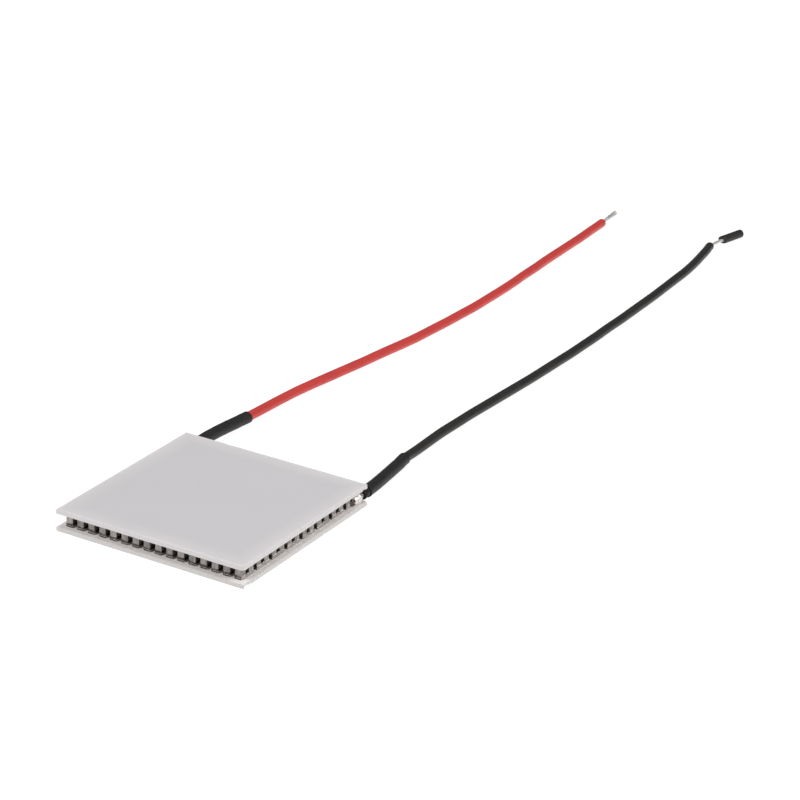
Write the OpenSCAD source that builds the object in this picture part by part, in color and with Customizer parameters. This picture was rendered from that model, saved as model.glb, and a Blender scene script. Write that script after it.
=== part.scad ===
// Thermoelectric cooling module: two ceramic plates with a square array of
// bismuth telluride legs between them, joined in one series circuit by copper
// bus tabs, and fed by two sleeved flexible leads.
// Origin: bottom centre of the module, +Z towards the cold plate. The leads
// leave over the +Y edge and lie on the surface that the module stands on.
// Lengths are in millimetres.

/* [Plates] */
// Side of the two square ceramic plates
plate_size = 30; // [29:0.1:31]
// Thickness of each ceramic plate
plate_t = 0.635; // [0.5:0.005:1]
// Distance from the plate's edge to the centre of the outer leg row
edge_margin = 1.5; // [1.3:0.05:1.7]

/* [Legs and bus tabs] */
// Leg positions along each side of the array
grid = 16; // [12:2:16]
// Width of a square leg
leg_w = 1.04; // [0.8:0.02:1.1]
// Height of a leg
leg_h = 1.27; // [1.2:0.01:1.6]
// Width of a copper bus tab
tab_w = 1.2; // [1.12:0.02:1.3]
// Thickness of a copper bus tab
tab_t = 0.25; // [0.15:0.01:0.35]
// Thickness of the solder layer between a leg and a tab
solder_t = 0.08; // [0.03:0.005:0.1]

/* [Leads] */
// Outer diameter of the lead's insulation
wire_od = 1.4; // [1.2:0.05:1.5]
// Diameter of the lead's stranded conductor
conductor_od = 0.5; // [0.4:0.02:0.6]
// Outer diameter of the sleeve over the root of each lead
sleeve_od = 1.76; // [1.6:0.02:1.8]

/* [Hidden] */

pitch = (plate_size - 2 * edge_margin) / (grid - 1);
tab_len = pitch + tab_w;

// heights of the stack, from the hot face up
z_hot = plate_t;                    // top of the hot plate
z_hot_tab = z_hot + tab_t;          // top of the hot tabs
z_leg = z_hot_tab + solder_t;       // foot of the legs
z_leg_top = z_leg + leg_h;          // head of the legs
z_cold_tab = z_leg_top + solder_t;  // underside of the cold tabs
z_cold = z_cold_tab + tab_t;        // underside of the cold plate

// leads: 8 sides, one ring at each point of the route
sides = 8;
rest_z = wire_od / 2;               // axis of a lead that lies on the surface
exit_z = (z_hot + z_cold) / 2;      // axis of a lead between the plates

// Routes of the two leads. Each point is [x, y, lift]: lift is 0 where the
// lead lies on the surface and 1 at mid height between the plates.
red_route = [
  [-13.5, 12.7, 0.7], [-13.5, 13.5, 0.8], [-13.5, 14.7, 1], [-13.5, 15.9, 1.06],
  [-13.6, 18, 1], [-13.7, 21, 0.8], [-13.7, 24, 0.57], [-13.7, 26.5, 0.35],
  [-13.6, 28.2, 0.3], [-13.6, 32, 0.1], [-13.5, 36, 0], [-13.2, 40, 0],
  [-12.7, 44, 0], [-12.1, 48, 0], [-11.5, 52, 0], [-10.9, 56, 0],
  [-10.4, 60, 0], [-9.8, 64, 0], [-9.3, 68, 0], [-9, 72, 0],
  [-8.7, 76, 0], [-8.5, 80, 0], [-8.3, 84, 0], [-8.3, 88, 0],
  [-8.3, 92, 0], [-8.4, 96, 0], [-8.6, 100, 0], [-8.7, 104, 0],
  [-8.9, 108, 0], [-9, 112, 0], [-9.1, 116, 0], [-9.2, 120, 0],
  [-9.4, 124, 0], [-9.5, 126.5, 0], [-9.6, 128.3, 0], [-9.8, 131, 0.05],
  [-9.9, 133.8, 0.05]];
black_route = [
  [13.95, 12.7, 0.62], [14.1, 13.5, 0.7], [14.25, 14.7, 0.85], [14.2, 15.9, 0.93],
  [14, 18, 0.85], [13.6, 21, 0.7], [13.1, 24, 0.5], [12.7, 26.5, 0.35],
  [12.3, 29, 0.3], [12.1, 32, 0.1], [11.9, 36, 0], [11.8, 40, 0],
  [11.9, 44, 0], [12, 48, 0], [12.2, 52, 0], [12.4, 56, 0],
  [12.6, 60, 0], [12.8, 64, 0], [12.9, 68, 0], [13, 72, 0],
  [13.1, 76, 0], [13.1, 80, 0], [13.1, 84, 0], [13, 88, 0],
  [13, 92, 0], [12.9, 96, 0], [12.8, 100, 0], [12.7, 104, 0],
  [12.5, 108, 0], [12.3, 112, 0], [12.1, 116, 0], [11.7, 120, 0],
  [11.1, 124, 0], [10.6, 127, 0], [10.2, 129, 0], [10.3, 130.6, 0],
  [10.6, 132.6, 0], [11.2, 135, 0], [11.8, 137.4, 0]];

// stations of the route at which each piece of a lead starts and ends
sleeve_first = 3;
sleeve_last = 8;
insulation_first = 2;
insulation_last = 34;
slug_first = 36;

// radius of the solder bead on each terminal
bead_r = 0.5;

// ---- leg array --------------------------------------------------------

// centre of column or row k, counted from 1
function at(k) = -plate_size / 2 + edge_margin + (k - 1) * pitch;
// the two places at the +Y corners carry the leads in place of a leg
function has_leg(i, j) = !(j == grid && (i == 1 || i == grid));

module leg_array(parity, z, h)
  translate([0, 0, z]) linear_extrude(height = h)
    for (i = [1:grid], j = [1:grid])
      if (has_leg(i, j) && (parity < 0 || (i + j) % 2 == parity))
        translate([at(i), at(j)]) square(leg_w, center = true);

// a tab that joins places (i, j) and (i, j + 1)
module tab_y(i, j)
  translate([at(i), (at(j) + at(j + 1)) / 2]) square([tab_w, tab_len], center = true);
// a tab that joins places (i, j) and (i + 1, j)
module tab_x(i, j)
  translate([(at(i) + at(i + 1)) / 2, at(j)]) square([tab_len, tab_w], center = true);

module hot_tabs_outline() {
  for (i = [2:grid - 1], j = [1:2:grid - 1]) tab_y(i, j);
  for (i = [1, grid], j = [1:2:grid - 3]) tab_y(i, j);
}
module cold_tabs_outline() {
  for (i = [1:grid], j = [2:2:grid - 2]) tab_y(i, j);
  for (i = [1:2:grid - 1]) tab_x(i, 1);
  for (i = [2:2:grid - 2]) tab_x(i, grid);
}

// ---- leads ------------------------------------------------------------

// moves a route with the terminal when the plates change size
function shift(p, side) = [p[0] + side * (plate_size / 2 - 15 - (edge_margin - 1.5)),
                           p[1] + plate_size / 2 - 15,
                           rest_z + p[2] * (exit_z - rest_z)];
function unit(v) = v / norm(v);
function axis_at(P, i) =
  i == 0 ? unit(P[1] - P[0])
  : i == len(P) - 1 ? unit(P[i] - P[i - 1])
  : unit(unit(P[i + 1] - P[i]) + unit(P[i] - P[i - 1]));
// one ring of points about station i, with a flat at the bottom
function ring(P, i, r) =
  let (t = axis_at(P, i), s = unit(cross(t, [0, 0, 1])), u = cross(s, t))
  [for (k = [0:sides - 1]) let (a = (k + 0.5) * 360 / sides)
     P[i] + r * (cos(a) * s + sin(a) * u)];
// side walls between n rings whose points start at index b
function walls(n, b, out) =
  [for (i = [0:n - 2], k = [0:sides - 1])
     let (a0 = b + i * sides + k, a1 = b + i * sides + (k + 1) % sides,
          b0 = a0 + sides, b1 = a1 + sides)
     each out ? [[a0, b1, b0], [a0, a1, b1]] : [[a0, b0, b1], [a0, b1, a1]]];

// a solid cord from station a to station b of the route
module cord(P, a, b, r) {
  n = b - a + 1;
  pts = [for (i = [a:b]) each ring(P, i, r)];
  first = [for (k = [0:sides - 1]) sides - 1 - k];
  last = [for (k = [0:sides - 1]) (n - 1) * sides + k];
  polyhedron(points = pts, faces = concat(walls(n, 0, true), [first, last]), convexity = 6);
}

// a hollow cord from station a to station b
module tube(P, a, b, ro, ri) {
  n = b - a + 1;
  q = n * sides;
  pts = concat([for (i = [a:b]) each ring(P, i, ro)], [for (i = [a:b]) each ring(P, i, ri)]);
  e = (n - 1) * sides;
  rims = [for (k = [0:sides - 1]) let (m = (k + 1) % sides)
            each [[k, q + m, m], [k, q + k, q + m],
                  [e + k, e + m, q + e + m], [e + k, q + e + m, q + e + k]]];
  polyhedron(points = pts,
             faces = concat(walls(n, 0, true), walls(n, q, false), rims), convexity = 8);
}

red_path = [for (p = red_route) shift(p, -1)];
black_path = [for (p = black_route) shift(p, 1)];

// solder that holds the end of a conductor on its terminal tab: a round bead
// along the conductor, on a pool that covers the end of the tab
module lead_joint(P, column) {
  x = (P[0][0] + P[1][0]) / 2;
  z = (P[0][2] + P[1][2]) / 2;
  difference() {
    translate([0, P[0][1] + 1.3, 0]) rotate([90, 0, 0]) linear_extrude(height = 1.6)
      difference() {
        union() {
          translate([x, z]) circle(r = bead_r, $fn = 48);
          translate([x - bead_r, z_hot_tab]) square([2 * bead_r, z - z_hot_tab]);
          translate([at(column) - tab_w / 2 + 0.05, z_hot_tab]) square([tab_w - 0.1, 0.15]);
        }
        // the bead stops at the top of the tab
        translate([x - 2, z_hot_tab - 2]) square([4, 2]);
      }
    cord(P, 0, insulation_first, conductor_od / 2);
  }
}

module terminal_tab(column)
  translate([0, 0, z_hot]) linear_extrude(height = tab_t) tab_y(column, grid - 1);

// ---- sub-parts --------------------------------------------------------

// lower ceramic plate, which carries the terminals
module hot_plate() color([0.86, 0.85, 0.85])
  translate([-plate_size / 2, -plate_size / 2, 0]) cube([plate_size, plate_size, plate_t]);

// upper ceramic plate
module cold_plate() color([0.8, 0.79, 0.8])
  translate([-plate_size / 2, -plate_size / 2, z_cold]) cube([plate_size, plate_size, plate_t]);

module hot_bus_tabs() color([0.62, 0.58, 0.55])
  translate([0, 0, z_hot]) linear_extrude(height = tab_t) hot_tabs_outline();

module cold_bus_tabs() color([0.62, 0.58, 0.55])
  translate([0, 0, z_cold_tab]) linear_extrude(height = tab_t) cold_tabs_outline();

module positive_terminal_tab() color([0.62, 0.58, 0.55]) terminal_tab(1);

module negative_terminal_tab() color([0.62, 0.58, 0.55]) terminal_tab(grid);

module p_type_legs() color([0.5, 0.5, 0.5]) leg_array(0, z_leg, leg_h);

module n_type_legs() color([0.46, 0.46, 0.47]) leg_array(1, z_leg, leg_h);

module hot_solder_joints() color([0.75, 0.75, 0.76]) leg_array(-1, z_hot_tab, solder_t);

module cold_solder_joints() color([0.75, 0.75, 0.76]) leg_array(-1, z_leg_top, solder_t);

module positive_lead_solder() color([0.78, 0.77, 0.76]) lead_joint(red_path, 1);

module negative_lead_solder() color([0.78, 0.77, 0.76]) lead_joint(black_path, grid);

module red_lead_conductor() color([0.68, 0.66, 0.64])
  cord(red_path, 0, len(red_path) - 1, conductor_od / 2);

module red_lead_insulation() color([0.8, 0.18, 0.16])
  tube(red_path, insulation_first, insulation_last, wire_od / 2, conductor_od / 2);

module red_lead_sleeve() color([0.14, 0.14, 0.14])
  tube(red_path, sleeve_first, sleeve_last, sleeve_od / 2, wire_od / 2);

// the conductor ends half way along the slug
module black_lead_conductor() color([0.68, 0.66, 0.64])
  cord(black_path, 0, slug_first + 1, conductor_od / 2);

module black_lead_insulation() color([0.16, 0.16, 0.15])
  tube(black_path, insulation_first, insulation_last, wire_od / 2, conductor_od / 2);

module black_lead_sleeve() color([0.14, 0.14, 0.14])
  tube(black_path, sleeve_first, sleeve_last, sleeve_od / 2, wire_od / 2);

// piece of insulation that was cut and slid along, but left on the conductor
module black_lead_insulation_slug() color([0.16, 0.16, 0.15])
  tube(black_path, slug_first, len(black_path) - 1, wire_od / 2 - 0.02, conductor_od / 2);

hot_plate();
cold_plate();
hot_bus_tabs();
cold_bus_tabs();
positive_terminal_tab();
negative_terminal_tab();
p_type_legs();
n_type_legs();
hot_solder_joints();
cold_solder_joints();
positive_lead_solder();
negative_lead_solder();
red_lead_conductor();
red_lead_insulation();
red_lead_sleeve();
black_lead_conductor();
black_lead_insulation();
black_lead_sleeve();
black_lead_insulation_slug();
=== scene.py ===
"""Looks of the thermoelectric cooling module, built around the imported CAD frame. Lengths are in metres."""

import math

import bpy
import numpy as np
from mathutils import Matrix, Vector, noise


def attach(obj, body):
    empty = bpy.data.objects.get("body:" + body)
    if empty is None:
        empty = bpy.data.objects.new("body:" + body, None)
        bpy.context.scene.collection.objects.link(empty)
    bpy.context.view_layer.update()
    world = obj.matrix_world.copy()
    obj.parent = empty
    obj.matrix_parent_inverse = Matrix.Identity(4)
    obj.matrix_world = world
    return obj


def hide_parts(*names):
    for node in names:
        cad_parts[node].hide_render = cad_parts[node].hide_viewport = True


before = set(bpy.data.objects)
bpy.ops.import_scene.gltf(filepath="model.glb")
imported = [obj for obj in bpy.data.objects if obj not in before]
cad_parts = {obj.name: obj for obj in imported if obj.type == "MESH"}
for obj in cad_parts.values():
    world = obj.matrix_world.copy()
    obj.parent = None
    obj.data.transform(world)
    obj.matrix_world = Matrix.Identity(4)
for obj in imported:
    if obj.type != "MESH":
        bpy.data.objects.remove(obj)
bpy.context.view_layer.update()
scene = bpy.context.scene
scene.view_settings.view_transform = "Standard"
scene.view_settings.look = "None"
MM = 0.001

# ------------------------------------------------------------------ camera
cam_data = bpy.data.cameras.new("camera")
cam_data.lens = 141.26436659972296
cam_data.sensor_width = 36.0
cam_data.clip_start = 0.01
cam_data.clip_end = 60.0
camera = bpy.data.objects.new("camera", cam_data)
scene.collection.objects.link(camera)
camera.matrix_world = Matrix((
    (0.85200983, -0.23114002, 0.46973774, 0.21574733863),
    (0.52293439, 0.33310636, -0.78458892, -0.3124493194),
    (0.02487728, 0.91411949, 0.40468096, 0.18577199019),
    (0.0, 0.0, 0.0, 1.0),
))
scene.camera = camera

# ------------------------------------------------------------- dimensions
PLATE = 30.0
PLATE_T = 0.635
MARGIN = 1.5
GRID = 16
LEG_W = 1.04
LEG_H = 1.27
TAB_W = 1.2
TAB_T = 0.25
SOLDER_T = 0.08
WIRE_R = 0.7
CORE_R = 0.25
SLEEVE_R = 0.88
PITCH = (PLATE - 2 * MARGIN) / (GRID - 1)
TAB_L = PITCH + TAB_W
Z_HOT = PLATE_T
Z_HOT_TAB = Z_HOT + TAB_T
Z_LEG = Z_HOT_TAB + SOLDER_T
Z_LEG_TOP = Z_LEG + LEG_H
Z_COLD_TAB = Z_LEG_TOP + SOLDER_T
Z_COLD = Z_COLD_TAB + TAB_T
REST_Z = WIRE_R
EXIT_Z = (Z_HOT + Z_COLD) / 2


def at(k):
    return -PLATE / 2 + MARGIN + (k - 1) * PITCH


def has_leg(i, j):
    return not (j == GRID and i in (1, GRID))


# routes of the leads, as in the CAD part: x, y, lift
RED_ROUTE = [
    (-13.5, 12.7, 0.7), (-13.5, 13.5, 0.8), (-13.5, 14.7, 1), (-13.5, 15.9, 1.06),
    (-13.6, 18, 1), (-13.7, 21, 0.8), (-13.7, 24, 0.57), (-13.7, 26.5, 0.35),
    (-13.6, 28.2, 0.3), (-13.6, 32, 0.1), (-13.5, 36, 0), (-13.2, 40, 0),
    (-12.7, 44, 0), (-12.1, 48, 0), (-11.5, 52, 0), (-10.9, 56, 0),
    (-10.4, 60, 0), (-9.8, 64, 0), (-9.3, 68, 0), (-9, 72, 0),
    (-8.7, 76, 0), (-8.5, 80, 0), (-8.3, 84, 0), (-8.3, 88, 0),
    (-8.3, 92, 0), (-8.4, 96, 0), (-8.6, 100, 0), (-8.7, 104, 0),
    (-8.9, 108, 0), (-9, 112, 0), (-9.1, 116, 0), (-9.2, 120, 0),
    (-9.4, 124, 0), (-9.5, 126.5, 0), (-9.6, 128.3, 0), (-9.8, 131, 0.05),
    (-9.9, 133.8, 0.05)]
BLACK_ROUTE = [
    (13.95, 12.7, 0.62), (14.1, 13.5, 0.7), (14.25, 14.7, 0.85), (14.2, 15.9, 0.93),
    (14, 18, 0.85), (13.6, 21, 0.7), (13.1, 24, 0.5), (12.7, 26.5, 0.35),
    (12.3, 29, 0.3), (12.1, 32, 0.1), (11.9, 36, 0), (11.8, 40, 0),
    (11.9, 44, 0), (12, 48, 0), (12.2, 52, 0), (12.4, 56, 0),
    (12.6, 60, 0), (12.8, 64, 0), (12.9, 68, 0), (13, 72, 0),
    (13.1, 76, 0), (13.1, 80, 0), (13.1, 84, 0), (13, 88, 0),
    (13, 92, 0), (12.9, 96, 0), (12.8, 100, 0), (12.7, 104, 0),
    (12.5, 108, 0), (12.3, 112, 0), (12.1, 116, 0), (11.7, 120, 0),
    (11.1, 124, 0), (10.6, 127, 0), (10.2, 129, 0), (10.3, 130.6, 0),
    (10.6, 132.6, 0), (11.2, 135, 0), (11.8, 137.4, 0)]
SLEEVE_FIRST, SLEEVE_LAST = 3, 8
INS_FIRST, INS_LAST = 2, 34
SLUG_FIRST = 36


class Route:
    """One smooth curve through the route's stations, walked by its own length in mm."""

    def __init__(self, stations):
        p = np.array([(x, y, REST_Z + lift * (EXIT_Z - REST_Z)) for x, y, lift in stations])
        q = np.vstack([2 * p[0] - p[1], p, 2 * p[-1] - p[-2]])
        rows, marks, steps = [], [], 24
        for i in range(len(p) - 1):
            a, b, c, d = q[i], q[i + 1], q[i + 2], q[i + 3]
            h = np.linalg.norm(c - b)
            m0 = (c - a) / (np.linalg.norm(b - a) + h) * h
            m1 = (d - b) / (np.linalg.norm(d - c) + h) * h
            u = np.linspace(0, 1, steps, endpoint=False)[:, None]
            marks.append(len(rows) * steps)
            rows.append((2 * u**3 - 3 * u**2 + 1) * b + (u**3 - 2 * u**2 + u) * m0
                        + (3 * u**2 - 2 * u**3) * c + (u**3 - u**2) * m1)
        self.p = np.vstack(rows + [p[-1:]])
        marks.append(len(self.p) - 1)
        self.s = np.concatenate([[0], np.cumsum(np.linalg.norm(np.diff(self.p, axis=0), axis=1))])
        self.mark = [float(self.s[m]) for m in marks]

    def point(self, s):
        s = np.asarray(s, float)
        inside = np.stack([np.interp(s, self.s, self.p[:, k]) for k in range(3)], -1)
        last = self.p[-1] - self.p[-3]
        last = last / np.linalg.norm(last)
        first = self.p[0] - self.p[2]
        first = first / np.linalg.norm(first)
        over = np.clip(s - self.s[-1], 0, None)[..., None]
        under = np.clip(self.s[0] - s, 0, None)[..., None]
        return inside + over * last + under * first

    def frame(self, s):
        t = self.point(np.asarray(s) + 0.25) - self.point(np.asarray(s) - 0.25)
        t = t / np.linalg.norm(t, axis=-1, keepdims=True)
        side = np.cross(t, np.array([0, 0, 1.0]))
        side = side / np.linalg.norm(side, axis=-1, keepdims=True)
        return t, side, np.cross(side, t)


RED = Route(RED_ROUTE)
BLACK = Route(BLACK_ROUTE)

# ---------------------------------------------------------------- helpers


def fbm(p, scale, octaves=3, seed=0.0):
    """Smooth noise from about -1 to 1 at each point (mm)."""
    out, amp = np.zeros(len(p)), 1.0
    for o in range(octaves):
        k = scale * 2**o
        out += amp * np.array([noise.noise(Vector((x * k + seed, y * k - seed, z * k + 3.7 * o)))
                               for x, y, z in p])
        amp *= 0.5
    return out


def build(name, verts, faces, materials, nodes, smooth=True, face_mats=None, sharp=None):
    """A mesh piece from points in mm, on the root body, standing for CAD nodes."""
    me = bpy.data.meshes.new(name)
    me.from_pydata([tuple(v) for v in np.asarray(verts) * MM], [], [tuple(int(i) for i in f) for f in faces])
    for m in materials:
        me.materials.append(m)
    if face_mats is not None:
        me.polygons.foreach_set("material_index", np.asarray(face_mats, np.int32))
    me.polygons.foreach_set("use_smooth", [smooth] * len(me.polygons))
    me.validate()
    me.update()
    if sharp is not None:
        me.set_sharp_from_angle(angle=math.radians(sharp))
    ob = bpy.data.objects.new(name, me)
    scene.collection.objects.link(ob)
    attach(ob, "root")
    if nodes:
        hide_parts(*nodes)
    return ob


class Parts:
    """Gathers closed shells into one mesh."""

    def __init__(self):
        self.v, self.f, self.m, self.n = [], [], [], 0

    def add(self, v, f, m=0):
        v = np.asarray(v, float)
        self.v.append(v)
        self.f += [tuple(i + self.n for i in g) for g in f]
        self.m += [m] * len(f)
        self.n += len(v)

    def verts(self):
        return np.vstack(self.v)


def ring_faces(rings, sides, closed=False, first=0):
    """Quads between rings of the same number of points, numbered ring after ring."""
    out = []
    for i in range(rings if closed else rings - 1):
        a, b = first + i * sides, first + ((i + 1) % rings) * sides
        for k in range(sides):
            m = (k + 1) % sides
            out.append((a + k, a + m, b + m, b + k))
    return out


def swept(route, profile, sides, shape=None, cut=None):
    """A closed hollow form: each (s, r) of the profile is a ring round the route, and the last joins the first."""
    s = np.array([q[0] for q in profile], float)
    r = np.array([q[1] for q in profile], float)
    th = np.arange(sides) / sides * 2 * math.pi
    S = np.repeat(s[:, None], sides, 1)
    R = np.repeat(r[:, None], sides, 1)
    T = np.repeat(th[None, :], len(s), 0)
    if cut is not None:
        S = S + cut(S, T, R)
    if shape is not None:
        R = R * shape(S, T, R)
    t, side, up = route.frame(S)
    p = route.point(S) + R[..., None] * (np.cos(T)[..., None] * side + np.sin(T)[..., None] * up)
    return p.reshape(-1, 3), ring_faces(len(s), sides, closed=True)


def strand(points, radius, sides=8, r_end=0.85):
    """A solid round wire through points (mm)."""
    p = np.asarray(points)
    t = np.gradient(p, axis=0)
    t /= np.linalg.norm(t, axis=1, keepdims=True)
    a = np.cross(t, np.array([0.0, 0, 1.0]))
    a /= np.linalg.norm(a, axis=1, keepdims=True)
    b = np.cross(a, t)
    th = np.arange(sides) / sides * 2 * math.pi
    r = np.full(len(p), radius)
    r[0] *= r_end
    r[-1] *= r_end
    v = p[:, None, :] + r[:, None, None] * (np.cos(th)[None, :, None] * a[:, None, :]
                                            + np.sin(th)[None, :, None] * b[:, None, :])
    f = ring_faces(len(p), sides)
    v = np.vstack([v.reshape(-1, 3), p[0] - t[0] * radius * 0.25, p[-1] + t[-1] * radius * 0.25])
    n = len(p) * sides
    for k in range(sides):
        m = (k + 1) % sides
        f.append((n, m, k))
        f.append((n + 1, n - sides + k, n - sides + m))
    return v, f


# -------------------------------------------------------------- materials


class Mat:
    """A Principled material with procedural colour, roughness and bump."""

    def __init__(self, name):
        self.m = bpy.data.materials.new(name)
        self.m.use_nodes = True
        self.t = self.m.node_tree
        self.t.nodes.clear()
        self.out = self.t.nodes.new("ShaderNodeOutputMaterial")
        self.b = self.t.nodes.new("ShaderNodeBsdfPrincipled")
        self.link(self.b.outputs[0], self.out.inputs[0])
        self.co = self.t.nodes.new("ShaderNodeTexCoord").outputs["Object"]

    def link(self, a, b):
        self.t.links.new(a, b)

    def new(self, kind, **values):
        n = self.t.nodes.new(kind)
        for k, v in values.items():
            setattr(n, k, v)
        return n

    def math(self, op, a, b=None, clamp=False):
        n = self.new("ShaderNodeMath", operation=op, use_clamp=clamp)
        for i, x in enumerate((a, b)):
            if x is None:
                continue
            if isinstance(x, (int, float)):
                n.inputs[i].default_value = x
            else:
                self.link(x, n.inputs[i])
        return n.outputs[0]

    def scaled(self, sx, sy, sz, src=None):
        n = self.new("ShaderNodeVectorMath", operation="MULTIPLY")
        self.link(src or self.co, n.inputs[0])
        n.inputs[1].default_value = (sx, sy, sz)
        return n.outputs[0]

    def noise(self, scale, detail=3.0, rough=0.5, src=None, distortion=0.0):
        n = self.new("ShaderNodeTexNoise")
        self.link(src or self.co, n.inputs["Vector"])
        n.inputs["Scale"].default_value = scale
        n.inputs["Detail"].default_value = detail
        n.inputs["Roughness"].default_value = rough
        n.inputs["Distortion"].default_value = distortion
        return n.outputs["Fac"]

    def ramp(self, fac, stops):
        n = self.new("ShaderNodeValToRGB")
        self.link(fac, n.inputs[0])
        e = n.color_ramp.elements
        while len(e) < len(stops):
            e.new(0.5)
        for el, (pos, col) in zip(e, stops):
            el.position = pos
            el.color = (*col, 1) if len(col) == 3 else col
        return n.outputs[0]

    def remap(self, fac, a, b, c, d):
        n = self.new("ShaderNodeMapRange")
        self.link(fac, n.inputs[0])
        for i, x in enumerate((a, b, c, d)):
            n.inputs[i + 1].default_value = x
        return n.outputs[0]

    def mix(self, fac, a, b, kind="MIX"):
        n = self.new("ShaderNodeMix", data_type="RGBA", blend_type=kind)
        if isinstance(fac, (int, float)):
            n.inputs[0].default_value = fac
        else:
            self.link(fac, n.inputs[0])
        for i, x in ((6, a), (7, b)):
            if isinstance(x, tuple):
                n.inputs[i].default_value = (*x, 1)
            else:
                self.link(x, n.inputs[i])
        return n.outputs[2]

    def bump(self, height, distance, strength=1.0, normal=None):
        n = self.new("ShaderNodeBump")
        n.inputs["Strength"].default_value = strength
        n.inputs["Distance"].default_value = distance
        self.link(height, n.inputs["Height"])
        if normal is not None:
            self.link(normal, n.inputs["Normal"])
        return n.outputs[0]

    def normal_axis(self, axis):
        """One part of the surface's own normal, in the object's frame."""
        g = self.new("ShaderNodeNewGeometry").outputs["Normal"]
        s = self.new("ShaderNodeSeparateXYZ")
        self.link(g, s.inputs[0])
        return s.outputs[axis]

    def place(self, axis):
        s = self.new("ShaderNodeSeparateXYZ")
        self.link(self.co, s.inputs[0])
        return s.outputs[axis]

    def gap_shade_factor(self, low):
        """1 on the array's outer faces, low on the faces between the legs: painted shade in the gaps, together with
        some residue from soldering.
        """
        far = self.math("MAXIMUM", self.math("ABSOLUTE", self.place(0)), self.math("ABSOLUTE", self.place(1)))
        return self.remap(far, 0.01387, 0.01396, low, 1.0)

    def put(self, **sockets):
        for k, v in sockets.items():
            i = self.b.inputs[k.replace("_", " ")]
            if isinstance(v, (int, float)):
                i.default_value = v
            elif isinstance(v, tuple):
                i.default_value = (*v, 1) if len(v) == 3 and i.type == "RGBA" else v
            else:
                self.link(v, i)
        return self


def ceramic(name, top, edge, pale):
    """Sintered alumina: matt, faintly mottled, paler on the snapped edges."""
    m = Mat(name)
    big = m.noise(90, 3, 0.55)
    fine = m.noise(2600, 4, 0.6)
    speck = m.noise(5200, 2, 0.5)
    up = m.math("ABSOLUTE", m.normal_axis(2))
    face = m.ramp(big, [(0.3, tuple(c * 0.985 for c in top)), (0.7, tuple(min(1, c * 1.015) for c in top))])
    face = m.mix(m.remap(fine, 0.35, 0.65, 0.0, 1.0), face, tuple(min(1, c * 1.012) for c in top))
    side = m.ramp(m.noise(1, 4, 0.6, src=m.scaled(3200, 3200, 700)),
                  [(0.3, tuple(c * 0.94 for c in edge)), (0.7, edge)])
    ax = m.math("MAXIMUM", m.math("ABSOLUTE", m.place(0)), m.math("ABSOLUTE", m.place(1)))
    rim = m.math("MULTIPLY", m.remap(ax, 0.01445, 0.01495, 0.0, 1.0), m.remap(big, 0.3, 0.7, 0.6, 1.0))
    broad = m.math("MULTIPLY", m.remap(ax, 0.0122, 0.0148, 0.0, 0.62), m.remap(m.noise(60, 2, 0.5), 0.3, 0.7, 0.5, 1.0))
    face = m.mix(broad, face, pale)
    face = m.mix(rim, face, pale)
    colour = m.mix(m.remap(up, 0.5, 0.9, 0.0, 1.0), side, face)
    grain = m.bump(fine, 0.000006, 0.5)
    ridges = m.noise(1, 3, 0.6, src=m.scaled(5200, 5200, 420))
    broken = m.math("MULTIPLY", ridges, m.math("SUBTRACT", 1.0, up, clamp=True))
    normal = m.bump(broken, 0.00003, 0.7, grain)
    m.put(Base_Color=colour, Roughness=m.remap(speck, 0.3, 0.7, 0.5, 0.64), Normal=normal,
          IOR=1.6, Specular_IOR_Level=0.35)
    return m.m


def pellet(name, base):
    """Sawn bismuth telluride: grey, grainy, with facets that catch the light."""
    m = Mat(name)
    v = m.new("ShaderNodeTexVoronoi", feature="F1")
    m.link(m.scaled(1, 1, 0.45), v.inputs["Vector"])
    v.inputs["Scale"].default_value = 5200
    g = m.new("ShaderNodeSeparateColor")
    m.link(v.outputs["Color"], g.inputs[0])
    snap = m.new("ShaderNodeVectorMath", operation="SNAP")
    m.link(m.co, snap.inputs[0])
    snap.inputs[1].default_value = (PITCH * MM, PITCH * MM, 0.01)
    w = m.new("ShaderNodeTexWhiteNoise", noise_dimensions="3D")
    m.link(snap.outputs[0], w.inputs["Vector"])
    grain = m.remap(g.outputs[0], 0, 1, 0.82, 1.14)
    each = m.remap(w.outputs["Value"], 0, 1, 0.8, 1.12)
    stain = m.remap(m.noise(1, 3, 0.6, src=m.scaled(1900, 1900, 500)), 0.35, 0.65, 0.76, 1.12)
    f = m.math("MULTIPLY", m.math("MULTIPLY", grain, each), stain)
    tone = m.new("ShaderNodeVectorMath", operation="SCALE")
    tone.inputs[0].default_value = base
    m.link(f, tone.inputs["Scale"])
    saw = m.noise(1, 2, 0.5, src=m.scaled(1500, 1500, 9000))
    n1 = m.bump(g.outputs[1], 0.000012, 0.5)
    n2 = m.bump(saw, 0.00001, 0.35, n1)
    # the pellet tone is darkened on the faces between the legs as painted shade
    gap_shaded_tone = m.new("ShaderNodeVectorMath", operation="SCALE")
    m.link(tone.outputs[0], gap_shaded_tone.inputs[0])
    m.link(m.gap_shade_factor(0.55), gap_shaded_tone.inputs["Scale"])
    m.put(Base_Color=gap_shaded_tone.outputs[0], Metallic=0.55, Roughness=m.remap(g.outputs[2], 0, 1, 0.36, 0.62), Normal=n2)
    return m.m


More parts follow.
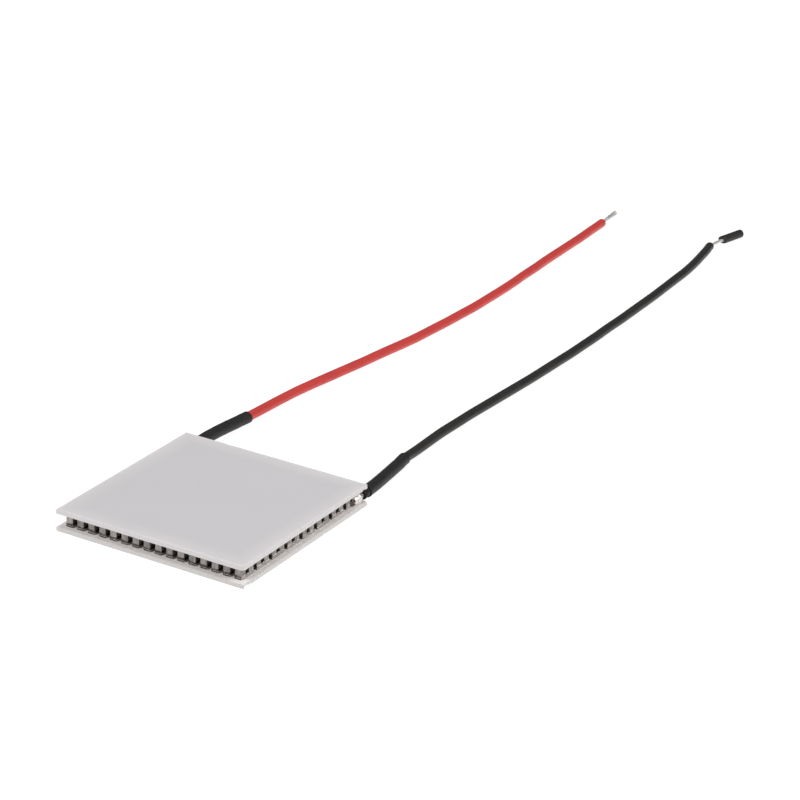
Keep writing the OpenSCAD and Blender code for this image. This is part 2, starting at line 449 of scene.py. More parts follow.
def tab_metal(name, plate, cut, shade_band_z=None):
    """Copper tab, tinned on its faces, painted dark as shade on its faces turned along Y (on tabs running along Y these
    are also the cut ends), with a thin painted contact shade low on its sides.
    """
    m = Mat(name)
    tin = m.ramp(m.noise(1400, 4, 0.6), [(0.32, tuple(c * 0.78 for c in plate)), (0.68, plate)])
    # faces turned along Y take the dark cut colour: painted shade
    y_facing_shade = m.math("ABSOLUTE", m.normal_axis(1))
    colour = m.mix(m.remap(y_facing_shade, 0.6, 0.9, 0.0, 1.0), tin, cut)
    if shade_band_z is not None:
        # a thin dark band low on the tab's sides, where it meets the plate: painted contact shade
        low = m.math("ADD", m.place(2), m.remap(m.noise(900, 2, 0.5), 0.3, 0.7, -0.00003, 0.00002))
        colour = m.mix(m.remap(low, shade_band_z * MM + 0.00005, shade_band_z * MM + 0.00009, 0.85, 0.0), colour, (0.09, 0.07, 0.065))
    n = m.bump(m.noise(2500, 3, 0.6), 0.00001, 0.4)
    m.put(Base_Color=colour, Metallic=0.85, Roughness=m.remap(m.noise(2100, 2, 0.5), 0.3, 0.7, 0.3, 0.5), Normal=n)
    return m.m


def solder_metal(name, bright, dull, low, high):
    """Tin solder: bright where it is smooth, grey and dull where soldering residue stayed on it, and dark as painted
    shade on faces turned to -Y and on the faces between the legs.
    """
    m = Mat(name)
    f = m.noise(1700, 4, 0.62, distortion=0.4)
    # faces turned to -Y take the dark tone: painted shade
    minus_y_shade = m.remap(m.math("MULTIPLY", m.normal_axis(1), -1.0), 0.1, 0.5, 0.0, 0.85)
    k = m.math("ADD", m.remap(f, 0.42, 0.66, 0.0, 0.5), minus_y_shade, clamp=True)
    # the faces between the legs take the dark tone fully: painted shade
    colour = m.mix(m.gap_shade_factor(0.0), dull, m.mix(k, bright, dull))
    n = m.bump(m.noise(2600, 3, 0.6), 0.000012, 0.45)
    m.put(Base_Color=colour, Metallic=0.9, Roughness=m.remap(f, 0.35, 0.65, low, high), Normal=n)
    return m.m


def lump_metal(name, bright, dark_reflection_tone):
    """The solder lump on a terminal: brown towards the array, a painted dark reflection, clean and bright towards the
    lead.
    """
    m = Mat(name)
    f = m.noise(1900, 3, 0.6)
    along = m.math("ADD", m.place(1), m.remap(f, 0.3, 0.7, -0.0003, 0.0003))
    k = m.remap(along, 0.01262, 0.01290, 0.0, 1.0)
    # the brown tone on the near part of the lump is a painted dark reflection
    colour = m.mix(k, dark_reflection_tone, m.ramp(f, [(0.35, tuple(c * 0.86 for c in bright)), (0.65, bright)]))
    n = m.bump(m.noise(2400, 3, 0.6), 0.000012, 0.4)
    m.put(Base_Color=colour, Metallic=0.8, Roughness=m.remap(k, 0, 1, 0.36, 0.4), Normal=n)
    return m.m


def vinyl(name, base, dirt, rough=0.36, spec=0.5, grain=0.000006):
    """Extruded PVC, with faint drag lines along it and a little grime."""
    m = Mat(name)
    along = m.noise(1, 3, 0.6, src=m.scaled(3400, 160, 3400))
    blot = m.noise(420, 4, 0.6)
    colour = m.mix(m.remap(blot, 0.42, 0.75, 0.0, 0.45), base, dirt)
    colour = m.mix(m.remap(along, 0.4, 0.7, 0.0, 0.16), colour, dirt)
    n = m.bump(along, grain, 0.5)
    n = m.bump(m.noise(5200, 2, 0.5), 0.000003, 0.4, n)
    # heat from soldering left the first millimetre dull
    m.put(Base_Color=colour, Roughness=m.remap(blot, 0.3, 0.7, rough - 0.05, rough + 0.09), Normal=n,
          Specular_IOR_Level=m.remap(m.place(1), 0.0152, 0.0158, 0.12, spec))
    return m.m


def tinned(name):
    m = Mat(name)
    f = m.noise(1600, 3, 0.6)
    colour = m.ramp(f, [(0.3, (0.62, 0.59, 0.57)), (0.7, (0.8, 0.77, 0.75))])
    n = m.bump(m.noise(1, 2, 0.5, src=m.scaled(7000, 500, 7000)), 0.000006, 0.5)
    m.put(Base_Color=colour, Metallic=0.75, Roughness=m.remap(f, 0.3, 0.7, 0.4, 0.55), Normal=n)
    return m.m


# a dark glossy coat, used as painted shade on the terminal tabs
def shade_puddle(name):
    m = Mat(name)
    f = m.noise(1500, 3, 0.6)
    colour = m.ramp(f, [(0.3, (0.012, 0.007, 0.006)), (0.75, (0.05, 0.032, 0.027))])
    m.put(Base_Color=colour, Roughness=m.remap(f, 0.3, 0.7, 0.12, 0.3), Normal=m.bump(f, 0.00002, 0.5),
          Coat_Weight=0.4, Coat_Roughness=0.1)
    return m.m


M_COLD = ceramic("cold_ceramic", (0.60, 0.585, 0.605), (0.65, 0.63, 0.635), (0.74, 0.715, 0.725))
M_HOT = ceramic("hot_ceramic", (0.84, 0.80, 0.79), (0.62, 0.60, 0.59), (0.86, 0.84, 0.82))
M_P = pellet("p_type_pellet", (0.37, 0.345, 0.325))
M_N = pellet("n_type_pellet", (0.33, 0.31, 0.295))
# the third colour of each tab material is the painted shade on faces turned along Y
M_TAB = tab_metal("bus_tab", (0.66, 0.61, 0.59), (0.085, 0.072, 0.065), shade_band_z=Z_HOT)
M_TAB_COLD = tab_metal("cold_bus_tab", (0.62, 0.58, 0.56), (0.16, 0.14, 0.13))
# the dark tone serves for dull solder and for the painted shade on -Y faces and between the legs
M_JOINT = solder_metal("joint_solder", (0.62, 0.59, 0.57), (0.065, 0.056, 0.05), 0.26, 0.48)
# the brown second tone of the lump is a painted dark reflection
M_BLOB = lump_metal("lead_solder", (0.84, 0.79, 0.78), (0.11, 0.085, 0.078))
M_SHADE_PUDDLE = shade_puddle("painted_shade_puddle")
M_RED = vinyl("red_pvc", (0.58, 0.047, 0.04), (0.40, 0.028, 0.025), rough=0.4, spec=0.4)
M_BLACK = vinyl("black_pvc", (0.012, 0.0115, 0.0105), (0.022, 0.02, 0.018), rough=0.42, spec=0.4)
M_SLEEVE = vinyl("black_sleeve", (0.009, 0.0085, 0.008), (0.02, 0.0185, 0.017), rough=0.5, spec=0.35, grain=0.000008)
M_STRAND = tinned("tinned_strand")

# ------------------------------------------------------------------ cords


def round_ends(s0, s1, ro, ri, step, corner=0.08):
    """Profile of a tube from s0 to s1: outer wall, far end, bore, near end."""
    c = corner
    arc = [0, 0.3, 0.7, 1.0]
    near = [(s0 + c * (1 - math.sin(a * math.pi / 2)), ro - c * (1 - math.cos(a * math.pi / 2))) for a in arc[::-1]]
    far = [(s1 - c * (1 - math.sin(a * math.pi / 2)), ro - c * (1 - math.cos(a * math.pi / 2))) for a in arc]
    n = max(2, int((s1 - s0) / step))
    mid = [(s, ro) for s in np.linspace(s0 + c, s1 - c, n + 1)[1:-1]]
    m = max(2, int((s1 - s0) / (step * 2)))
    bore = [(s, ri) for s in np.linspace(s1, s0, m + 1)]
    rim1 = [(s1, (ro - c + ri) / 2)]
    rim0 = [(s0, (ro - c + ri) / 2)]
    near = [(s0, ro - c), (s0 + 0.3 * c, ro - 0.35 * c), (s0 + c, ro)]
    far = [(s1 - c, ro), (s1 - 0.3 * c, ro - 0.35 * c), (s1, ro - c)]
    return near + mid + far + rim1 + bore + rim0


def insulation(name, route, nodes, mat, seed):
    a, b = route.mark[INS_FIRST], route.mark[INS_LAST]

    def shape(S, T, R):
        slow = 0.006 * np.sin(S * 0.37 + seed) * np.cos(T * 2 + S * 0.05)
        return 1 + np.where(R > 0.4, slow, 0)

    def cut(S, T, R):
        tilt = 0.10 * np.clip((S - b + 0.3) / 0.3, 0, 1) * np.cos(T - 0.6) * (R / WIRE_R)
        return tilt

    v, f = swept(route, round_ends(a, b, WIRE_R, CORE_R + 0.012, 0.5), 32, shape, cut)
    v[:, 2] = np.maximum(v[:, 2], 0.003)
    return build(name, v, f, [mat], nodes, sharp=50), a, b


def route_points(route, a, b, step=1.0):
    n = max(2, int((b - a) / step))
    return [tuple(float(c) * MM for c in p) for p in route.point(np.linspace(a, b, n + 1))]


def sleeve(name, route, nodes, seed):
    a, b = route.mark[SLEEVE_FIRST], route.mark[SLEEVE_LAST]
    lip = 0.012
    near = [(a, SLEEVE_R - 0.05), (a + 0.012, SLEEVE_R - 0.015), (a + 0.05, SLEEVE_R)]
    mid = [(s, SLEEVE_R) for s in np.linspace(a + 0.05, b - 0.5, 70)[1:]]
    end = [(b - 0.38, SLEEVE_R - 0.006), (b - 0.25, SLEEVE_R + 0.3 * lip), (b - 0.12, SLEEVE_R + lip),
           (b - 0.03, SLEEVE_R + lip), (b - 0.006, SLEEVE_R - 0.006), (b, SLEEVE_R - 0.035)]
    rim = [(b + 0.004, SLEEVE_R - 0.12), (b - 0.01, WIRE_R + 0.035)]
    bore = [(s, WIRE_R + 0.006) for s in np.linspace(b - 0.04, a, 60)]
    rim0 = [(a - 0.004, WIRE_R + 0.1)]
    prof = near + mid + end + rim + bore + rim0

    def shape(S, T, R):
        wave = 0.010 * np.sin(S * 1.9 + seed) * np.cos(T + S * 0.3) + 0.006 * np.sin(S * 4.7 + seed * 2) * np.cos(2 * T - S)
        return 1 + np.where(R > WIRE_R + 0.15, wave, 0)

    def cut(S, T, R):
        k = np.clip((S - b + 0.8) / 0.8, 0, 1)
        return 0.07 * k * np.cos(T * 1 + seed) + 0.02 * k * np.cos(3 * T + seed)

    v, f = swept(route, prof, 40, shape, cut)
    v[:, 2] = np.maximum(v[:, 2], 0.01)
    return build(name, v, f, [M_SLEEVE], nodes, sharp=45)


def conductor(name, route, s_end, nodes, fan, seed):
    rng = np.random.default_rng(seed)
    out = Parts()
    r = 0.1 if fan else 0.085
    s0 = route.mark[0] - 0.1
    tip_start = s_end - 3.4
    lay = 7.5
    for k in range(7):
        end = s_end + (rng.uniform(-0.16, 0.05) if fan else 0.0)
        s = np.concatenate([np.arange(s0, end, 0.32), [end]])
        t, side, up = route.frame(s)
        c = route.point(s)
        loose = np.clip((s - tip_start) / 3.4, 0, 1) if fan else np.zeros(len(s))
        spread = 1.08 + 0.42 * np.clip(loose * 4, 0, 1) + 0.3 * loose**1.2
        if k == 0:
            a, b = 0.03 * np.sin(s * 2), 0.03 * np.cos(s * 1.7)
        else:
            ph = (k - 1) * math.pi / 3 + 2 * math.pi * s / lay
            a, b = 0.165 * np.cos(ph) * spread, 0.165 * np.sin(ph) * spread
        off_a, off_b = rng.uniform(-0.07, 0.07), rng.uniform(0.0, 0.12)
        a = a + off_a * loose**2
        b = b + off_b * loose**2
        p = c + a[:, None] * side + b[:, None] * up
        v, f = strand(p, r, 8)
        out.add(v, f)
    v = out.verts()
    v[:, 2] = np.maximum(v[:, 2], 0.02)
    return build(name, v, out.f, [M_STRAND], nodes, sharp=60)


red_cond = conductor("red_lead_strands", RED, RED.mark[36], ["red_lead_conductor"], True, 3)
black_cond = conductor("black_lead_strands", BLACK, BLACK.mark[37], ["black_lead_conductor"], False, 5)
red_sleeve = sleeve("red_lead_heatshrink", RED, ["red_lead_sleeve"], 0.4)
black_sleeve = sleeve("black_lead_heatshrink", BLACK, ["black_lead_sleeve"], 2.1)
red_ins, red_a, red_b = insulation("red_lead_pvc", RED, ["red_lead_insulation"], M_RED, 1.0)
black_ins, black_a, black_b = insulation("black_lead_pvc", BLACK, ["black_lead_insulation"], M_BLACK,
                                         4.0)


def slug():
    a, b = BLACK.mark[SLUG_FIRST], BLACK.mark[38]
    ro = 0.69
    c = 0.2
    near = [(a, ro - 0.06), (a + 0.02, ro - 0.02), (a + 0.07, ro)]
    mid = [(s, ro) for s in np.linspace(a + 0.07, b - c, 16)[1:-1]]
    far = [(b - c * (1 - math.sin(u)), ro - c * (1 - math.cos(u))) for u in np.linspace(0, math.pi / 2, 6)]
    rim = [(b, (ro - c + CORE_R) / 2 + 0.04)]
    bore = [(s, CORE_R + 0.012) for s in np.linspace(b, a, 10)]
    rim0 = [(a, (ro + CORE_R) / 2)]

    def cut(S, T, R):
        k = np.clip((a + 1.2 - S) / 1.2, 0, 1)
        return -(0.36 * np.cos(T - 2.45) - 0.2) * k * (R / ro)

    v, f = swept(BLACK, near + mid + far + rim + bore + rim0, 32, None, cut)
    v[:, 2] = np.maximum(v[:, 2], 0.004)
    return build("black_lead_cut_piece", v, f, [M_BLACK], ["black_lead_insulation_slug"], sharp=45)


slug_ob = slug()

route_points(RED, red_a, red_b)[0]
route_points(RED, red_a, red_b)
route_points(BLACK, black_a, black_b)[0]
route_points(BLACK, black_a, black_b)

# ----------------------------------------------------------------- plates


def plate(name, z0, z1, mat, slot, node, seed, chips):
    edge = [0, 0.03, 0.09, 0.2]
    half = PLATE / 2
    inner = np.linspace(-half + 0.4, half - 0.4, 147)
    xs = np.concatenate([[-half + e for e in edge], inner, [half - e for e in edge[::-1]]])
    n = len(xs)
    levels = [0.0, 0.06, 0.2, 0.4, 0.6, 0.8, 0.94, 1.0]
    X, Y = np.meshgrid(xs, xs, indexing="ij")
    top = np.stack([X, Y, np.full_like(X, z1)], -1).reshape(-1, 3)
    bottom = np.stack([X, Y, np.full_like(X, z0)], -1).reshape(-1, 3)
    idx = np.arange(n * n).reshape(n, n)
    rim = list(idx[:, 0]) + list(idx[-1, 1:]) + list(idx[-2::-1, -1]) + list(idx[0, -2:0:-1])
    m = len(rim)
    faces = []
    for i in range(n - 1):
        for j in range(n - 1):
            a, b, c, d = idx[i, j], idx[i + 1, j], idx[i + 1, j + 1], idx[i, j + 1]
            faces.append((a, b, c, d))
            faces.append((n * n + a, n * n + d, n * n + c, n * n + b))
    verts = [top, bottom]
    base = 2 * n * n
    mids = []
    for q in levels[1:-1]:
        ring = top[rim].copy()
        ring[:, 2] = z1 - q * (z1 - z0)
        verts.append(ring)
        mids.append(list(range(base, base + m)))
        base += m
    rings = [rim] + mids + [[n * n + r for r in rim]]
    for r0, r1 in zip(rings, rings[1:]):
        for k in range(m):
            l = (k + 1) % m
            faces.append((r0[k], r1[k], r1[l], r0[l]))
    v = np.vstack(verts)
    # rough snapped edges: the wall wanders by a few hundredths, and the rims are slightly broken
    d = half - np.maximum(np.abs(v[:, 0]), np.abs(v[:, 1]))
    near = np.clip(1 - d / 0.45, 0, 1)
    zt = (v[:, 2] - z0) / (z1 - z0)
    hot = np.where(near > 0)[0]
    p = v[hot]
    stretch = p * np.array([1, 1, 0.5])
    wob = 0.024 * fbm(stretch, 0.35, 2, seed) + 0.016 * fbm(p, 2.1, 2, seed + 5)
    rimmed = np.clip(1 - np.minimum(zt[hot], 1 - zt[hot]) / 0.12, 0, 1) * np.clip(1 - d[hot] / 0.12, 0, 1)
    inward = (0.014 + wob) * near[hot] ** 2 + rimmed * (0.022 + 0.02 * np.abs(fbm(p, 3.3, 2, seed + 9)))
    inward = np.maximum(inward, 0.0)
    for axis in (0, 1):
        on = np.clip(1 - (half - np.abs(p[:, axis])) / 0.45, 0, 1) > 0
        v[hot, axis] -= np.where(on, np.sign(p[:, axis]) * inward * np.clip(1 - (half - np.abs(p[:, axis])) / 0.45, 0, 1), 0)
    v[hot, 2] += np.where(zt[hot] > 0.5, -1, 1) * rimmed * 0.018
    # corners: the snapped corner is a little rounded
    for sx in (-1, 1):
        for sy in (-1, 1):
            c = np.array([sx * half, sy * half])
            dist = np.linalg.norm(v[:, :2] - c, axis=1)
            k = np.clip(1 - dist / 0.4, 0, 1) ** 2
            v[:, 0] -= sx * 0.025 * k
            v[:, 1] -= sy * 0.025 * k
    # chips: scooped out of the edge
    for cx, cy, cz, r, push in chips:
        c = np.array([cx, cy, cz])
        vec = v - c
        dist = np.linalg.norm(vec * np.array([1, 1, 1.2]), axis=1)
        hit = dist < r
        rough = 1 + 0.25 * fbm(v[hit], 4.0, 2, seed)
        amount = (r - dist[hit]) * rough * push
        inwards = -np.array([np.sign(cx) * (abs(cx) > half - 0.7), np.sign(cy) * (abs(cy) > half - 0.7), 0.0])
        inwards = inwards / (np.linalg.norm(inwards) + 1e-9)
        inwards[2] = -0.5 if cz > (z0 + z1) / 2 else 0.5
        v[hit] += amount[:, None] * inwards
    v[:, :2] = np.clip(v[:, :2], -half, half)
    v[:, 2] = np.clip(v[:, 2], z0, z1)
    return build(name, v, faces, [mat], [node], sharp=40)


plate("cold_side_ceramic", Z_COLD, Z_COLD + PLATE_T, M_COLD, "cold_ceramic", "cold_plate", 3.1, [
    (15, 14.2, Z_COLD, 0.4, 0.35), (-15, -15, Z_COLD + PLATE_T, 0.3, 0.12),
    (3.2, -15, Z_COLD + PLATE_T, 0.3, 0.35), (15, -6.1, Z_COLD + PLATE_T, 0.28, 0.35), (-15, 5.5, Z_COLD, 0.4, 0.35),
    (-7.7, 15, Z_COLD + PLATE_T, 0.35, 0.35), (8.9, 15, Z_COLD, 0.3, 0.3), (15, -15, Z_COLD, 0.4, 0.35)])
plate("hot_side_ceramic", 0.0, PLATE_T, M_HOT, "hot_ceramic", "hot_plate", 8.4, [
    (15, 15, PLATE_T, 0.4, 0.3), (15, -14.35, 0.0, 0.5, 1.1), (15, -13.9, 0.0, 0.4, 0.8), (15, -13.3, 0.0, 0.3, 0.6), (-15, -15, 0.0, 0.3, 0.12),
    (-9.4, -15, PLATE_T, 0.3, 0.35), (15, 4.3, 0.0, 0.3, 0.3), (-15, -3.5, PLATE_T, 0.35, 0.35),
    (5.1, 15, PLATE_T, 0.4, 0.35), (-15, 15, PLATE_T, 0.4, 0.35)])

# ------------------------------------------------------------------- tabs


def rounded_rect(w, h, r, seg=4):
    pts = []
    for cx, cy, a0 in ((w / 2 - r, h / 2 - r, 0), (-w / 2 + r, h / 2 - r, 90), (-w / 2 + r, -h / 2 + r, 180),
                       (w / 2 - r, -h / 2 + r, 270)):
        for k in range(seg + 1):
            a = math.radians(a0 + 90 * k / seg)
            pts.append((cx + r * math.cos(a), cy + r * math.sin(a)))
    return np.array(pts)


def tab(parts, cx, cy, w, h, z0, z1, rng, m=0):
    o = rounded_rect(w, h, 0.16)
    n = len(o)
    b = 0.035
    turn = math.radians(rng.uniform(-0.6, 0.6))
    rot = np.array([[math.cos(turn), -math.sin(turn)], [math.sin(turn), math.cos(turn)]])
    shift = rng.uniform(-0.02, 0.02, 2)
    rings = []
    for inset, z in ((0.34, z0), (b, z0), (0.012, z0 + b * 0.4), (0, z0 + b), (0, z1 - b), (0.012, z1 - b * 0.4), (b, z1), (0.34, z1)):
        k = np.array([(w - 2 * inset) / w, (h - 2 * inset) / h])
        q = (o * k) @ rot.T + shift + np.array([cx, cy])
        rings.append(np.column_stack([q, np.full(n, z)]))
    v = np.vstack(rings)
    f = ring_faces(len(rings), n)
    c0, c1 = len(v), len(v) + 1
    v = np.vstack([v, [cx, cy, z0], [cx, cy, z1]])
    last = (len(rings) - 1) * n
    for k in range(n):
        l = (k + 1) % n
        f.append((c0, l, k))
        f.append((c1, last + k, last + l))
    parts.add(v, f, m)


def tabs(name, entries, z0, z1, mat, node, seed):
    rng = np.random.default_rng(seed)
    out = Parts()
    for kind, i, j in entries:
        if kind == "y":
            tab(out, at(i), (at(j) + at(j + 1)) / 2, TAB_W, TAB_L, z0, z1, rng)
        else:
            tab(out, (at(i) + at(i + 1)) / 2, at(j), TAB_L, TAB_W, z0, z1, rng)
    return build(name, out.verts(), out.f, [mat], node, sharp=50)


hot = [("y", i, j) for i in range(2, GRID) for j in range(1, GRID, 2)]
hot += [("y", i, j) for i in (1, GRID) for j in range(1, GRID - 2, 2)]
cold = [("y", i, j) for i in range(1, GRID + 1) for j in range(2, GRID - 1, 2)]
cold += [("x", i, 1) for i in range(1, GRID, 2)] + [("x", i, GRID) for i in range(2, GRID - 1, 2)]
tabs("hot_side_bus_tabs", hot, Z_HOT, Z_HOT_TAB, M_TAB, ["hot_bus_tabs"], 11)
tabs("cold_side_bus_tabs", cold, Z_COLD_TAB, Z_COLD, M_TAB_COLD, ["cold_bus_tabs"], 12)
tabs("positive_terminal", [("y", 1, GRID - 1)], Z_HOT, Z_HOT_TAB, M_TAB, ["positive_terminal_tab"], 13)
tabs("negative_terminal", [("y", GRID, GRID - 1)], Z_HOT, Z_HOT_TAB, M_TAB, ["negative_terminal_tab"], 14)

# ------------------------------------------------------------------- legs


def leg_template():
    """A sawn block of side 1 about the origin, with slightly broken edges."""
    q = np.array([-0.5, -0.455, -0.15, 0.15, 0.455, 0.5])
    n = len(q)
    idx, verts, faces = {}, [], []

    def vid(a, b, c):
        if (a, b, c) not in idx:
            idx[(a, b, c)] = len(verts)
            verts.append((q[a], q[b], q[c]))
        return idx[(a, b, c)]

    for axis in range(3):
        for side in (0, n - 1):
            for a in range(n - 1):
                for b in range(n - 1):
                    quad = []
                    for u, w in ((a, b), (a + 1, b), (a + 1, b + 1), (a, b + 1)):
                        t = [u, w]
                        t.insert(axis, side)
                        quad.append(vid(*t))
                    flip = (side == 0) ^ (axis == 1)
                    faces.append(tuple(quad[::-1]) if flip else tuple(quad))
    v = np.array(verts)
    at_edge = (np.abs(v) > 0.499).sum(1)
    k = np.where(at_edge >= 2, 0.5 - 0.02, 0.5)
    on = np.abs(v) > 0.499
    v = np.where(on, np.sign(v) * k[:, None], v)
    return v, faces


LEG_V, LEG_F = leg_template()


def legs(name, parity, mat, node, seed):
    rng = np.random.default_rng(seed)
    out = Parts()
    for i in range(1, GRID + 1):
        for j in range(1, GRID + 1):
            if (i + j) % 2 != parity or not has_leg(i, j):
                continue
            size = np.array([LEG_W + rng.uniform(-0.03, 0.01), LEG_W + rng.uniform(-0.03, 0.01), LEG_H])
            v = LEG_V * size
            low = fbm(v + np.array([i * 3.1, j * 2.7, parity]), 1.3, 2, seed)
            inner = (np.abs(LEG_V[:, :2]) > 0.45).any(1)
            shrink = 1 - 0.012 * np.abs(low) * inner
            v[:, :2] *= shrink[:, None]
            a = math.radians(rng.uniform(-1.3, 1.3))
            c, s = math.cos(a), math.sin(a)
            x, y = v[:, 0] * c - v[:, 1] * s, v[:, 0] * s + v[:, 1] * c
            v = np.column_stack([x + at(i) + rng.uniform(-0.015, 0.015), y + at(j) + rng.uniform(-0.015, 0.015),
                                 v[:, 2] + (Z_LEG + Z_LEG_TOP) / 2])
            out.add(v, LEG_F)
    return build(name, out.verts(), out.f, [mat], node, sharp=30)


legs("p_type_pellets", 0, M_P, ["p_type_legs"], 21)
legs("n_type_pellets", 1, M_N, ["n_type_legs"], 22)


# ---------------------------------------------------------- solder joints


def joints(name, z_tab, sign, node, tall, seed, entries):
    """Solder under each leg, drawn up its sides by a few tenths."""
    rng = np.random.default_rng(seed)
    out = Parts()
    base = rounded_rect(1.0, 1.0, 0.08, 3)
    n = len(base)
    ang = np.arctan2(base[:, 1], base[:, 0])
    for i in range(1, GRID + 1):
        for j in range(1, GRID + 1):
            if not has_leg(i, j):
                continue
            ph = rng.uniform(0, 6.28, 3)
            climb = tall * (1 + 0.35 * np.cos(ang + ph[0]) + 0.2 * np.cos(2 * ang + ph[1]) + 0.12 * np.cos(5 * ang + ph[2]))
            climb *= rng.uniform(0.75, 1.15)
            spread = 0.055 + 0.02 * np.cos(3 * ang + ph[2])
            w = LEG_W
            rings = []
            for off, z in ((-0.3, 0 * climb), (spread * 0.8, 0 * climb), (spread, 0 * climb + 0.02),
                           (spread * 0.72, 0.04 + 0.12 * climb), (0.03 + 0 * climb, 0.05 + 0.45 * climb),
                           (0.016 + 0 * climb, 0.06 + 0.8 * climb), (0.004 + 0 * climb, 0.065 + climb),
                           (-0.05 + 0 * climb, 0.05 + climb)):
                k = (w + 2 * (off if np.ndim(off) else np.full(n, off)))
                q = base * k[:, None] + np.array([at(i), at(j)])
                rings.append(np.column_stack([q, z_tab + sign * (z if np.ndim(z) else np.full(n, z))]))
            v = np.vstack(rings)
            f = ring_faces(len(rings), n)
            c0, c1 = len(v), len(v) + 1
            zt = z_tab + sign * (0.05 + float(climb.mean()))
            v = np.vstack([v, [at(i), at(j), z_tab], [at(i), at(j), zt]])
            last = (len(rings) - 1) * n
            for k in range(n):
                l = (k + 1) % n
                f.append((c0, l, k))
                f.append((c1, last + k, last + l))
            if sign < 0:
                f = [tuple(g[::-1]) for g in f]
            out.add(v, f)
    # solder that ran along each tab and filled the space between its two legs
    deep = 0.27 if sign > 0 else 0.14
    for kind, i, j in entries:
        a, b = 8, 10
        gx, gy = np.meshgrid(np.linspace(-1, 1, b), np.linspace(-1, 1, a), indexing="ij")
        wide, run = TAB_W / 2 - 0.03, (PITCH - LEG_W) / 2 + 0.05
        h = deep * rng.uniform(0.75, 1.2)
        crown = np.clip(1 - np.abs(gx) ** 5, 0, 1) ** 0.5 * (0.72 + 0.28 * np.abs(gy) ** 2)
        crown *= 1 + 0.14 * np.sin(gx * 2.3 + rng.uniform(0, 6)) + 0.08 * np.sin(gx * 5.1 + rng.uniform(0, 6))
        zz = 0.004 + h * crown
        x, y = gx * wide * (1 - 0.05 * (1 - np.abs(gy))), gy * run
        if kind == "x":
            x, y = -y, x
        cx = at(i) if kind == "y" else (at(i) + at(i + 1)) / 2
        cy = (at(j) + at(j + 1)) / 2 if kind == "y" else at(j)
        top = np.stack([x + cx, y + cy, z_tab + sign * zz], -1).reshape(-1, 3)
        low = np.stack([x + cx, y + cy, np.full_like(x, z_tab)], -1).reshape(-1, 3)
        idx = np.arange(a * b).reshape(b, a)
        f = []
        for u in range(b - 1):
            for w in range(a - 1):
                q = (idx[u, w], idx[u + 1, w], idx[u + 1, w + 1], idx[u, w + 1])
                f += [q, tuple(a * b + k for k in q[::-1])]
        edge = list(idx[:, 0]) + list(idx[-1, 1:]) + list(idx[-2::-1, -1]) + list(idx[0, -2:0:-1])
        for k in range(len(edge)):
            p, q = edge[k], edge[(k + 1) % len(edge)]
            f.append((p, a * b + p, a * b + q, q))
        if sign < 0:
            f = [g[::-1] for g in f]
        out.add(np.vstack([top, low]), f)
    return build(name, out.verts(), out.f, [M_JOINT], node, sharp=60)


joints("hot_side_solder", Z_HOT_TAB, 1, ["hot_solder_joints"], 0.22, 31, hot)
joints("cold_side_solder", Z_COLD_TAB, -1, ["cold_solder_joints"], 0.12, 32, cold)


def ease(x, a, b):
    u = np.clip((np.asarray(x, float) - a) / (b - a), 0, 1)
    return u * u * (3 - 2 * u)


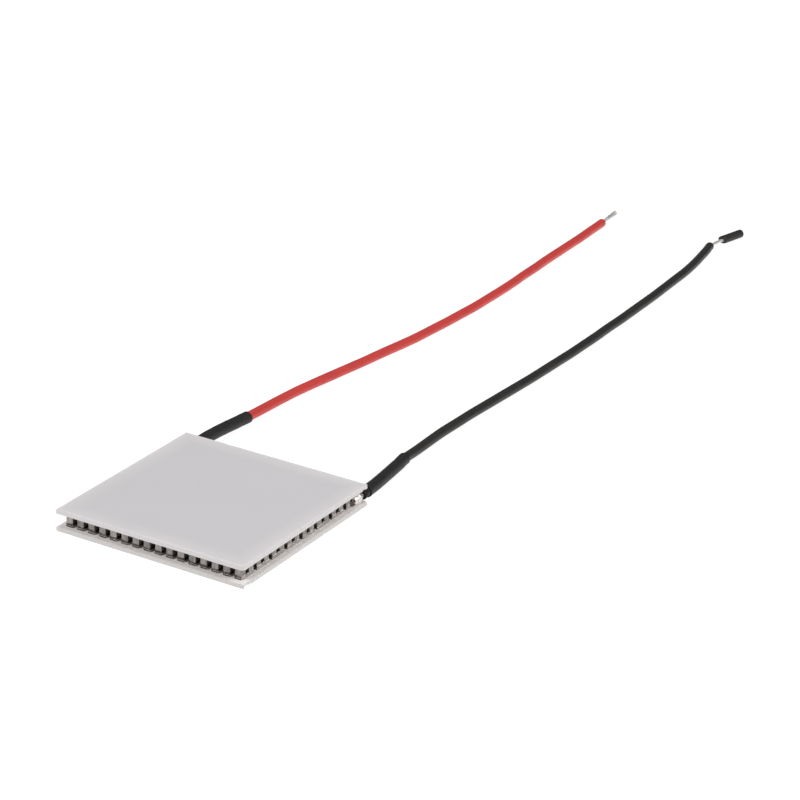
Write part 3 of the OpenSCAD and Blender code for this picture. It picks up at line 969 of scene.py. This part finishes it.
def lead_joint(name, route, column, node, seed, flip):
    """The lump of solder that holds a conductor on its terminal tab, with a dark glossy puddle beside it as painted
    shade.
    """
    out = Parts()
    y = np.concatenate([[12.16, 12.2, 12.26], np.linspace(12.34, 14.5, 40), [14.56, 14.6]])
    n = 44
    th = np.arange(n) / n * 2 * math.pi
    c = route.point(np.interp(y, route.p[:, 1], route.s))
    c[:, 1] = y
    rows = []
    for k, yy in enumerate(y):
        body = float(ease(yy, 11.95, 13.2) ** 0.72 * (1 - 0.42 * ease(yy, 13.8, 14.62)))
        cx, cz = c[k, 0], c[k, 2] - 0.12 * float(1 - ease(yy, 12.1, 12.9))
        wide, high = 0.08 + 0.52 * body, 0.06 + 0.56 * body
        co, si = np.cos(th), np.sin(th)
        drop = float(1 - ease(yy, 13.95, 14.3))
        low = (cz - Z_HOT) * drop + min(high, 0.36) * (1 - drop)
        power = np.where(si < 0, 1 - 0.5 * drop, 1.0)
        x = cx + wide * np.sign(co) * np.abs(co) ** power
        z = cz + np.where(si >= 0, high * si, low * np.sign(si) * np.abs(si) ** np.where(drop > 0.5, 0.8, 1.0))
        rows.append(np.column_stack([x, np.full(n, yy), z]))
    v = np.vstack(rows)
    lump = fbm(v, 1.5, 2, seed)
    mid = np.repeat(c, n, 0)
    free = ease(v[:, 2], Z_HOT + 0.05, Z_HOT + 0.4)
    v = v + (v - mid) * (0.11 * lump * free)[:, None] * np.array([1, 0, 1])
    v[:, 2] = np.clip(v[:, 2], Z_HOT, Z_COLD - 0.05)
    lo, hi = at(column) - TAB_W / 2 + 0.02, at(column) + TAB_W / 2 - 0.02
    f = [tuple(g[::-1]) for g in ring_faces(len(y), n)]
    c0, c1 = len(v), len(v) + 1
    v = np.vstack([v, v[:n].mean(0) + [0, -0.02, 0], v[-n:].mean(0) + [0, 0.02, 0]])
    last = (len(y) - 1) * n
    for k in range(n):
        l = (k + 1) % n
        f.append((c0, k, l))
        f.append((c1, last + l, last + k))
    out.add(v, f, 0)
    # a low dark glossy puddle on the tab, from the leg's base to the lump: painted shade
    m, rings = 28, 7
    cx, cy = at(column) + (0.12 if column > 1 else -0.12), 12.2
    rng = np.random.default_rng(int(seed * 10))
    ph = rng.uniform(0, 6.28, 4)
    a = np.arange(m) / m * 2 * math.pi
    edge = 1 + 0.1 * np.cos(2 * a + ph[0]) + 0.07 * np.cos(3 * a + ph[1]) + 0.04 * np.cos(5 * a + ph[2])
    pts = []
    for q in range(rings):
        rr = q / (rings - 1)
        zz = Z_HOT_TAB + 0.3 * (1 - rr**2.2) ** 0.8 + 0.002
        pts.append(np.column_stack([cx + 0.50 * rr * edge * np.cos(a), cy + 0.62 * rr * edge * np.sin(a), np.full(m, zz)]))
    top = np.vstack([[[cx, cy, Z_HOT_TAB + 0.302]], np.vstack(pts[1:])])
    top[:, 0] = np.clip(top[:, 0], lo, hi)
    f2 = [(0, 1 + k, 1 + (k + 1) % m) for k in range(m)]
    f2 += [(1 + r0 * m + k, 1 + (r0 + 1) * m + k, 1 + (r0 + 1) * m + (k + 1) % m, 1 + r0 * m + (k + 1) % m)
           for r0 in range(rings - 2) for k in range(m)]
    b = len(top)
    top = np.vstack([top, [[cx, cy, Z_HOT_TAB]]])
    lastr = 1 + (rings - 2) * m
    f2 += [(b, lastr + (k + 1) % m, lastr + k) for k in range(m)]
    out.add(top, f2, 1)
    return build(name, out.verts(), out.f, [M_BLOB, M_SHADE_PUDDLE], [node], face_mats=out.m, sharp=70)


lead_joint("positive_solder_lump", RED, 1, "positive_lead_solder", 5.5, -1)
lead_joint("negative_solder_lump", BLACK, GRID, "negative_lead_solder", 2.5, 1)

# ------------------------------------------------------------------ stage
floor_me = bpy.data.meshes.new("floor")
floor_me.from_pydata([(-15, -15, 0), (15, -15, 0), (15, 15, 0), (-15, 15, 0)], [], [(0, 1, 2, 3)])
floor = bpy.data.objects.new("floor", floor_me)
floor.location.z = -0.00002
scene.collection.objects.link(floor)
fm = Mat("floor")
fm.put(Base_Color=(0.25, 0.25, 0.25), Roughness=0.9, Specular_IOR_Level=0.0, Emission_Color=(1.0, 1.0, 1.0),
       Emission_Strength=0.87)
floor_me.materials.append(fm.m)

world = bpy.data.worlds.new("studio")
scene.world = world
world.use_nodes = True
world.node_tree.nodes["Background"].inputs[0].default_value = (0.97, 0.975, 1.0, 1)
world.node_tree.nodes["Background"].inputs[1].default_value = 0.2


def soft_light(name, place, target, size, power, colour=(1, 1, 1)):
    li = bpy.data.lights.new(name, "AREA")
    li.shape = "DISK"
    li.size = size
    li.energy = power
    li.color = colour
    ob = bpy.data.objects.new(name, li)
    ob.location = place
    ob.rotation_mode = "QUATERNION"
    ob.rotation_quaternion = (Vector(target) - Vector(place)).to_track_quat("-Z", "Y")
    scene.collection.objects.link(ob)
    return ob


soft_light("left", (-0.45, -0.65, 0.64), (0, 0, 0), 0.45, 6.0, (1.0, 0.985, 0.975))
soft_light("right", (0.8, 0.12, 0.64), (0, 0.02, 0), 0.45, 6.0, (1.0, 0.985, 0.97))
soft_light("top", (-0.1, 0.45, 1.05), (0, 0.03, 0), 0.7, 2.0)
